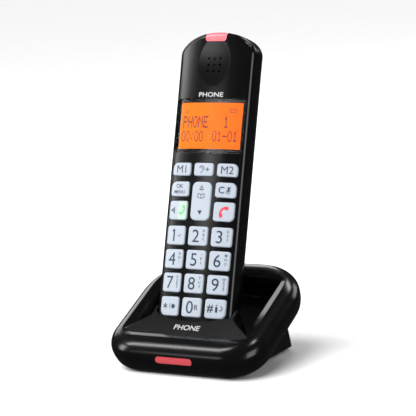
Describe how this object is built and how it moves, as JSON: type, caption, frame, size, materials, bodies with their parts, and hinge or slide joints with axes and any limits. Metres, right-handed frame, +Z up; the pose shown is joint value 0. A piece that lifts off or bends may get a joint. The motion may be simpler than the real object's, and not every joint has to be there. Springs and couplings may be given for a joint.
{
  "type": "cordless telephone with charging base",
  "caption": "Cordless telephone handset with large keys and a lit display, leaning in a tilted charging base with a wedge foot, sprung pins and rear sockets.",
  "frame": {"origin": "on the table, under the middle of the box round the whole object", "axes": "+X across the phone to the user's right, +Y away from the user, +Z up"},
  "size_m": [0.0988, 0.0908, 0.1819],
  "materials": {
    "black_plastic": "high gloss black moulding",
    "key_plastic": "pale bluish white moulding with printed dark legends",
    "window": "clear hard-coated lens with a black border",
    "display": "orange lit liquid crystal panel",
    "white_plastic": "milky light guide",
    "board": "green solder resist",
    "mat_rubber": "grey silicone",
    "foam": "closed-cell foam",
    "steel": "plated spring steel",
    "pin_gold": "gold-plated brass",
    "speaker": "dark speaker can",
    "cell_wrap": "shrink-wrapped cell",
    "red_lens": "translucent red moulding",
    "socket_plastic": "black nylon",
    "button_plastic": "dark grey moulding",
    "foot_rubber": "black rubber"
  },
  "bodies": {
    "base": {"base_top_shell": "black_plastic", "base_bottom_shell": "black_plastic", "base_stand": "black_plastic", "light_bar": "red_lens", "light_board": "board", "base_circuit_board": "board", "pin_carrier": "board", "pin_springs": "steel", "line_socket": "socket_plastic", "power_socket": "socket_plastic", "base_feet": "foot_rubber", "base_screws": "steel"},
    "handset": {"handset_front_shell": "black_plastic", "handset_back_shell": "black_plastic", "display_window": "window", "lcd_panel": "display", "lcd_backlight": "white_plastic", "handset_circuit_board": "board", "keypad_mat": "mat_rubber", "dome_switches": "steel", "earpiece_speaker": "speaker", "earpiece_gasket": "foam", "microphone": "steel", "loudspeaker": "speaker", "ring_light_lens": "red_lens", "ring_light_led": "white_plastic", "battery_cell_left": "cell_wrap", "battery_cell_right": "cell_wrap", "battery_contacts": "steel", "charge_contacts": "steel", "handset_screws": "steel"},
    "battery_door": {"battery_door": "black_plastic"},
    "key_memory_1": {"key_memory_1": "key_plastic"},
    "key_boost": {"key_boost": "key_plastic"},
    "key_memory_2": {"key_memory_2": "key_plastic"},
    "key_menu": {"key_menu": "key_plastic"},
    "key_cancel": {"key_cancel": "key_plastic"},
    "key_talk": {"key_talk": "key_plastic"},
    "key_end": {"key_end": "key_plastic"},
    "key_1": {"key_1": "key_plastic"},
    "key_2": {"key_2": "key_plastic"},
    "key_3": {"key_3": "key_plastic"},
    "key_4": {"key_4": "key_plastic"},
    "key_5": {"key_5": "key_plastic"},
    "key_6": {"key_6": "key_plastic"},
    "key_7": {"key_7": "key_plastic"},
    "key_8": {"key_8": "key_plastic"},
    "key_9": {"key_9": "key_plastic"},
    "key_star": {"key_star": "key_plastic"},
    "key_0": {"key_0": "key_plastic"},
    "key_hash": {"key_hash": "key_plastic"},
    "key_rocker": {"key_rocker": "key_plastic"},
    "charge_pin_left": {"charge_pin_left": "pin_gold"},
    "charge_pin_right": {"charge_pin_right": "pin_gold"},
    "page_button": {"page_button": "button_plastic"}
  },
  "joints": [
    {"name": "handset_lift", "type": "slide", "parent": "base", "child": "handset", "axis": [0, 0.304, 0.9527], "range_m": [0, 0.12]},
    {"name": "battery_door_release", "type": "slide", "parent": "handset", "child": "battery_door", "axis": [0, 0.9527, -0.304], "range_m": [0, 0.01]},
    {"name": "key_memory_1_press", "type": "slide", "parent": "handset", "child": "key_memory_1", "axis": [0, 0.9527, -0.304], "range_m": [0, 0.0008], "stiffness_N_per_m": 1500},
    {"name": "key_boost_press", "type": "slide", "parent": "handset", "child": "key_boost", "axis": [0, 0.9527, -0.304], "range_m": [0, 0.0008], "stiffness_N_per_m": 1500},
    {"name": "key_memory_2_press", "type": "slide", "parent": "handset", "child": "key_memory_2", "axis": [0, 0.9527, -0.304], "range_m": [0, 0.0008], "stiffness_N_per_m": 1500},
    {"name": "key_menu_press", "type": "slide", "parent": "handset", "child": "key_menu", "axis": [0, 0.9527, -0.304], "range_m": [0, 0.0008], "stiffness_N_per_m": 1500},
    {"name": "key_cancel_press", "type": "slide", "parent": "handset", "child": "key_cancel", "axis": [0, 0.9527, -0.304], "range_m": [0, 0.0008], "stiffness_N_per_m": 1500},
    {"name": "key_talk_press", "type": "slide", "parent": "handset", "child": "key_talk", "axis": [0, 0.9527, -0.304], "range_m": [0, 0.0008], "stiffness_N_per_m": 1500},
    {"name": "key_end_press", "type": "slide", "parent": "handset", "child": "key_end", "axis": [0, 0.9527, -0.304], "range_m": [0, 0.0008], "stiffness_N_per_m": 1500},
    {"name": "key_1_press", "type": "slide", "parent": "handset", "child": "key_1", "axis": [0, 0.9527, -0.304], "range_m": [0, 0.0008], "stiffness_N_per_m": 1500},
    {"name": "key_2_press", "type": "slide", "parent": "handset", "child": "key_2", "axis": [0, 0.9527, -0.304], "range_m": [0, 0.0008], "stiffness_N_per_m": 1500},
    {"name": "key_3_press", "type": "slide", "parent": "handset", "child": "key_3", "axis": [0, 0.9527, -0.304], "range_m": [0, 0.0008], "stiffness_N_per_m": 1500},
    {"name": "key_4_press", "type": "slide", "parent": "handset", "child": "key_4", "axis": [0, 0.9527, -0.304], "range_m": [0, 0.0008], "stiffness_N_per_m": 1500},
    {"name": "key_5_press", "type": "slide", "parent": "handset", "child": "key_5", "axis": [0, 0.9527, -0.304], "range_m": [0, 0.0008], "stiffness_N_per_m": 1500},
    {"name": "key_6_press", "type": "slide", "parent": "handset", "child": "key_6", "axis": [0, 0.9527, -0.304], "range_m": [0, 0.0008], "stiffness_N_per_m": 1500},
    {"name": "key_7_press", "type": "slide", "parent": "handset", "child": "key_7", "axis": [0, 0.9527, -0.304], "range_m": [0, 0.0008], "stiffness_N_per_m": 1500},
    {"name": "key_8_press", "type": "slide", "parent": "handset", "child": "key_8", "axis": [0, 0.9527, -0.304], "range_m": [0, 0.0008], "stiffness_N_per_m": 1500},
    {"name": "key_9_press", "type": "slide", "parent": "handset", "child": "key_9", "axis": [0, 0.9527, -0.304], "range_m": [0, 0.0008], "stiffness_N_per_m": 1500},
    {"name": "key_star_press", "type": "slide", "parent": "handset", "child": "key_star", "axis": [0, 0.9527, -0.304], "range_m": [0, 0.0008], "stiffness_N_per_m": 1500},
    {"name": "key_0_press", "type": "slide", "parent": "handset", "child": "key_0", "axis": [0, 0.9527, -0.304], "range_m": [0, 0.0008], "stiffness_N_per_m": 1500},
    {"name": "key_hash_press", "type": "slide", "parent": "handset", "child": "key_hash", "axis": [0, 0.9527, -0.304], "range_m": [0, 0.0008], "stiffness_N_per_m": 1500},
    {"name": "key_rocker_tilt", "type": "hinge", "parent": "handset", "child": "key_rocker", "pos_m": [0, -0.00119, 0.08954], "axis": [1, 0, 0], "range_deg": [-2.5, 2.5], "stiffness_Nm_per_rad": 0.07},
    {"name": "charge_pin_left_press", "type": "slide", "parent": "base", "child": "charge_pin_left", "axis": [0, -0.304, -0.9527], "range_m": [0, 0.0008], "stiffness_N_per_m": 600},
    {"name": "charge_pin_right_press", "type": "slide", "parent": "base", "child": "charge_pin_right", "axis": [0, -0.304, -0.9527], "range_m": [0, 0.0008], "stiffness_N_per_m": 600},
    {"name": "page_button_press", "type": "slide", "parent": "base", "child": "page_button", "axis": [0, -0.9563, -0.2924], "range_m": [0, 0.0008], "stiffness_N_per_m": 1000}
  ]
}
